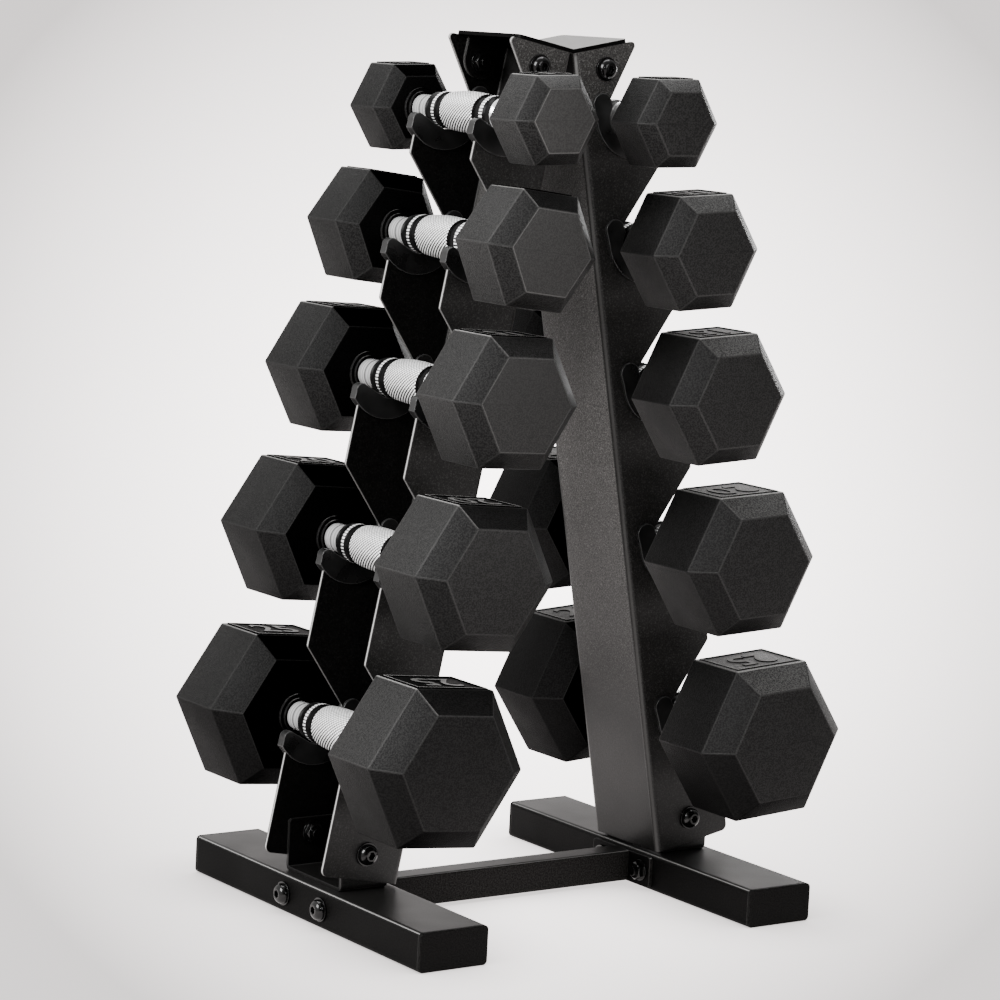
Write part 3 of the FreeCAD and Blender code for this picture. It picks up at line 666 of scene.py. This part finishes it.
def placement(side, weight):
    """Where the dumbbell lies, read from its handle's box, with its roll about Y."""
    low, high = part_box("handle_%s_%02d" % (side, weight))
    turn = Matrix.Rotation(math.radians(ROLLS[side][weight]), 4, "Y")
    return Matrix.Translation((low + high) / 2) @ turn


def head_shell(bm, weight, end):
    """One hexagonal head with softened edges, and the stepped collar round the handle."""
    radius, gap, length, thickness = SIZES[weight]
    bevel = radius * BEVEL
    sections = [(radius * FACE, gap - bevel), (radius, gap), (radius, gap + length),
                (radius * FACE, gap + length + bevel)]
    body = bmesh.new()
    rings = [round_ring(body, r * MM, end * y * MM, 6) for r, y in sections]
    for first, second in zip(rings, rings[1:]):
        bridge(body, first, second)
    close_ends(body, rings)
    bmesh.ops.recalc_face_normals(body, faces=body.faces)
    softened = bmesh.ops.bevel(body, geom=body.edges[:], offset=HEAD_EDGE * MM, offset_type="OFFSET",
                               segments=2, profile=0.5, affect="EDGES")
    # the softened edges take the paler edge rubber, a painted highlight
    for new_face in softened["faces"]:
        new_face.material_index = 1
    rings = [round_ring(body, r * thickness * MM, end * (gap - bevel + step) * MM, COLLAR_SIDES)
             for r, step in COLLAR]
    for first, second in zip(rings, rings[1:]):
        bridge(body, first, second)
    bmesh.ops.recalc_face_normals(body, faces=body.faces)
    temporary = mesh_from(body, "temporary")
    bm.from_mesh(temporary)
    bpy.data.meshes.remove(temporary)


def build_heads(side, weight):
    bm = bmesh.new()
    for end in (-1, 1):
        head_shell(bm, weight, end)
    mesh = mesh_from(bm, "rubber_heads")
    return finish_piece(mesh, "rubber_heads_%s_%02d" % (side, weight), [RUBBER, RUBBER_EDGE_HIGHLIGHT], 35.0)


def numeral_mesh(weight, size):
    curve = bpy.data.curves.new("numerals", "FONT")
    curve.body = str(weight)
    curve.align_x = "CENTER"
    curve.align_y = "CENTER"
    curve.size = size * MM
    curve.extrude = NUMERAL_RISE * MM
    curve.bevel_depth = NUMERAL_ROUNDING * MM
    curve.bevel_resolution = 1
    curve.resolution_u = 3
    curve.offset = NUMERAL_BOLDNESS * MM
    text = bpy.data.objects.new("numerals", curve)
    bpy.context.scene.collection.objects.link(text)
    bpy.context.view_layer.update()
    evaluated = text.evaluated_get(bpy.context.evaluated_depsgraph_get())
    mesh = bpy.data.meshes.new_from_object(evaluated)
    bpy.data.objects.remove(text)
    return mesh


def build_marks(side, weight):
    """A raised frame on the top facet of each head, with the weight in raised numerals."""
    radius, gap, length, _ = SIZES[weight]
    top = radius * math.sqrt(3) / 2
    half = radius / 2 - MARK_SIDE_MARGIN
    near, far = gap + MARK_END_MARGIN, gap + length - MARK_END_MARGIN
    bars = [(-half, half, near, near + MARK_BAR), (-half, half, far - MARK_BAR, far),
            (-half, -half + MARK_BAR, near, far), (half - MARK_BAR, half, near, far)]
    bm = bmesh.new()
    for end in (-1, 1):
        for x_low, x_high, y_low, y_high in bars:
            y_low, y_high = sorted((end * y_low, end * y_high))
            add_bar(bm, x_low * MM, x_high * MM, y_low * MM, y_high * MM,
                    (top - MARK_SINK) * MM, (top + MARK_RISE) * MM)
        mesh = numeral_mesh(weight, (far - near) * NUMERAL_SIZE)
        turn = Matrix.Rotation(math.pi if end < 0 else 0.0, 4, "Z")
        mesh.transform(Matrix.Translation((0, end * (near + far) / 2 * MM, top * MM)) @ turn)
        bm.from_mesh(mesh)
    mesh = mesh_from(bm, "marks")
    return finish_piece(mesh, "weight_marks_%s_%02d" % (side, weight), [MARK], 30.0)


def handle_profile(weight):
    """Radius, place along Y and slot, from the middle outwards: a bulged grip, then the steps."""
    radius, gap, _, thickness = SIZES[weight]
    points = []
    for k in range(GRIP_STEPS + 1):
        y = GRIP_HALF * k / GRIP_STEPS
        points.append((GRIP_RADIUS - GRIP_FALL * (y / GRIP_HALF) ** 2, y, DIAMOND))
    collar = gap - radius * BEVEL - COLLAR_HEIGHT
    points += HANDLE_STEPS + [(NECK_RADIUS, collar + NECK_OVERLAP, SMOOTH)]
    return [(r * thickness, y, slot) for r, y, slot in points]


def build_handle(side, weight):
    """Turned bar lathed about Y: bulged knurled grip, beaded ring between dark grooves, smooth neck."""
    half = handle_profile(weight)
    rows = [(r, -y, slot) for r, y, slot in reversed(half[1:])] + half
    bm = bmesh.new()
    rings = [round_ring(bm, r * MM, y * MM, HANDLE_SIDES) for r, y, _ in rows]
    for k, (first, second) in enumerate(zip(rings, rings[1:])):
        inner = rows[k] if abs(rows[k][1]) < abs(rows[k + 1][1]) else rows[k + 1]
        bridge(bm, first, second, inner[2])
    close_ends(bm, rings)
    bmesh.ops.recalc_face_normals(bm, faces=bm.faces)
    mesh = mesh_from(bm, "handle")
    return finish_piece(mesh, "chrome_handle_%s_%02d" % (side, weight), [CHROME, KNURL, BEAD, GROOVE], 30.0)


def build_dumbbells():
    for side in ("left", "right"):
        for weight in SIZES:
            body = "dumbbell_%s_%02d" % (side, weight)
            place = placement(side, weight)
            heads = build_heads(side, weight)
            marks = build_marks(side, weight)
            handle = build_handle(side, weight)
            for piece, slot in ((heads, "head_rubber"), (marks, "head_rubber"), (handle, "handle_chrome")):
                piece.matrix_world = place
                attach(piece, body)
            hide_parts("heads_%s_%02d" % (side, weight), "cores_%s_%02d" % (side, weight))
            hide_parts("handle_%s_%02d" % (side, weight))


# ---------------------------------------------------------------- studio

def floor_paint():
    """Pale floor that glows a little, as if lit from all round, with a painted pool of light round the object and
    painted contact shadows under it.
    """
    t = Paint("studio_floor")
    x, y, z = t.split(t.place)
    depth = t.math("ADD", y, POOL_DISTANCE)
    across = t.math("DIVIDE", x, depth)
    down = t.math("SUBTRACT", t.math("DIVIDE", t.math("SUBTRACT", POOL_HEIGHT, z), depth), POOL_SLOPE)
    radius = t.math("SQRT", t.math("ADD", t.times(across, across), t.times(down, down)))
    # painted contact shadow: the glow dims where things stand close above the floor
    near = t.add("ShaderNodeAmbientOcclusion", {"Distance": 0.12}, samples=8).outputs["AO"]
    glow = t.times(t.range(radius, 0.017, 0.186, FLOOR_GLOW, FLOOR_EDGE_GLOW), t.range(near, 0.3, 1.0, 0.35, 1.0))
    colour = t.mix(t.noise(1.2, 2.0, 0.5), (1.0, 0.94, 0.925, 1), (1.0, 0.943, 0.93, 1))
    return t.shade(Base_Color=rgb(FLOOR_ALBEDO), Roughness=1.0, Specular_IOR_Level=0.0,
                   Emission_Color=colour, Emission_Strength=glow)


def build_floor():
    """A pale floor that sweeps up into a wall behind the object."""
    profile = [(FLOOR_FRONT, 0.0)]
    for step in range(FLOOR_STEPS + 1):
        angle = math.radians(90 * step / FLOOR_STEPS)
        profile.append((FLOOR_BACK + FLOOR_CURVE * math.sin(angle), FLOOR_CURVE - FLOOR_CURVE * math.cos(angle)))
    profile.append((FLOOR_BACK + FLOOR_CURVE, WALL_TOP))
    bm = bmesh.new()
    rows = [[bm.verts.new((x, y, z - FLOOR_DROP)) for x in (-FLOOR_HALF_WIDTH, FLOOR_HALF_WIDTH)]
            for y, z in profile]
    for near, far in zip(rows, rows[1:]):
        bm.faces.new((near[0], near[1], far[1], far[0]))
    floor = finish_piece(mesh_from(bm, "studio_floor"), "studio_floor", [floor_paint()], 60.0)
    floor.rotation_euler = (0.0, 0.0, CAMERA_AZIMUTH)


def build_world():
    """Studio surroundings: bright behind and on the left, dim in front and on the right."""
    world = bpy.data.worlds.new("studio")
    world.use_nodes = True
    t = Nodes(world.node_tree)
    direction = t.add("ShaderNodeTexCoord").outputs["Generated"]
    level = WORLD_BASE
    for axis, low, high, strength in WORLD_LOBES:
        dot = t.add("ShaderNodeVectorMath", {0: direction, 1: Vector(axis).normalized()},
                    operation="DOT_PRODUCT").outputs["Value"]
        lobe = t.range(dot, low, high, 0.0, strength, interpolation_type="SMOOTHSTEP")
        level = t.math("ADD", lobe, level)
    background = t.add("ShaderNodeBackground", {0: (1.0, 0.99, 0.98, 1), 1: level}).outputs[0]
    t.add("ShaderNodeOutputWorld", {0: background})
    bpy.context.scene.world = world


def build_lights():
    for name, energy, position, size in LIGHTS:
        light = bpy.data.lights.new(name, "AREA")
        light.energy = energy
        light.size = size
        obj = bpy.data.objects.new(name, light)
        obj.location = position
        obj.rotation_euler = (Vector(LIGHT_TARGET) - Vector(position)).to_track_quat("-Z", "Y").to_euler()
        bpy.context.scene.collection.objects.link(obj)


def build_camera():
    out = Vector((math.sin(CAMERA_AZIMUTH) * math.cos(CAMERA_ELEVATION),
                  -math.cos(CAMERA_AZIMUTH) * math.cos(CAMERA_ELEVATION), math.sin(CAMERA_ELEVATION)))
    right = Vector((math.cos(CAMERA_AZIMUTH), math.sin(CAMERA_AZIMUTH), 0.0))
    up = right.cross(-out)
    x_axis = math.cos(CAMERA_ROLL) * right + math.sin(CAMERA_ROLL) * up
    y_axis = -math.sin(CAMERA_ROLL) * right + math.cos(CAMERA_ROLL) * up
    data = bpy.data.cameras.new("camera")
    data.sensor_width = CAMERA_SENSOR
    data.lens = CAMERA_LENS
    camera = bpy.data.objects.new("camera", data)
    bpy.context.scene.collection.objects.link(camera)
    rotation = Matrix((x_axis, y_axis, out)).transposed().to_4x4()
    camera.matrix_world = Matrix.Translation(Vector(CAMERA_TARGET) + out * CAMERA_DISTANCE) @ rotation
    bpy.context.scene.camera = camera


dress_cad_nodes()
build_dumbbells()
build_floor()
build_world()
build_lights()
build_camera()
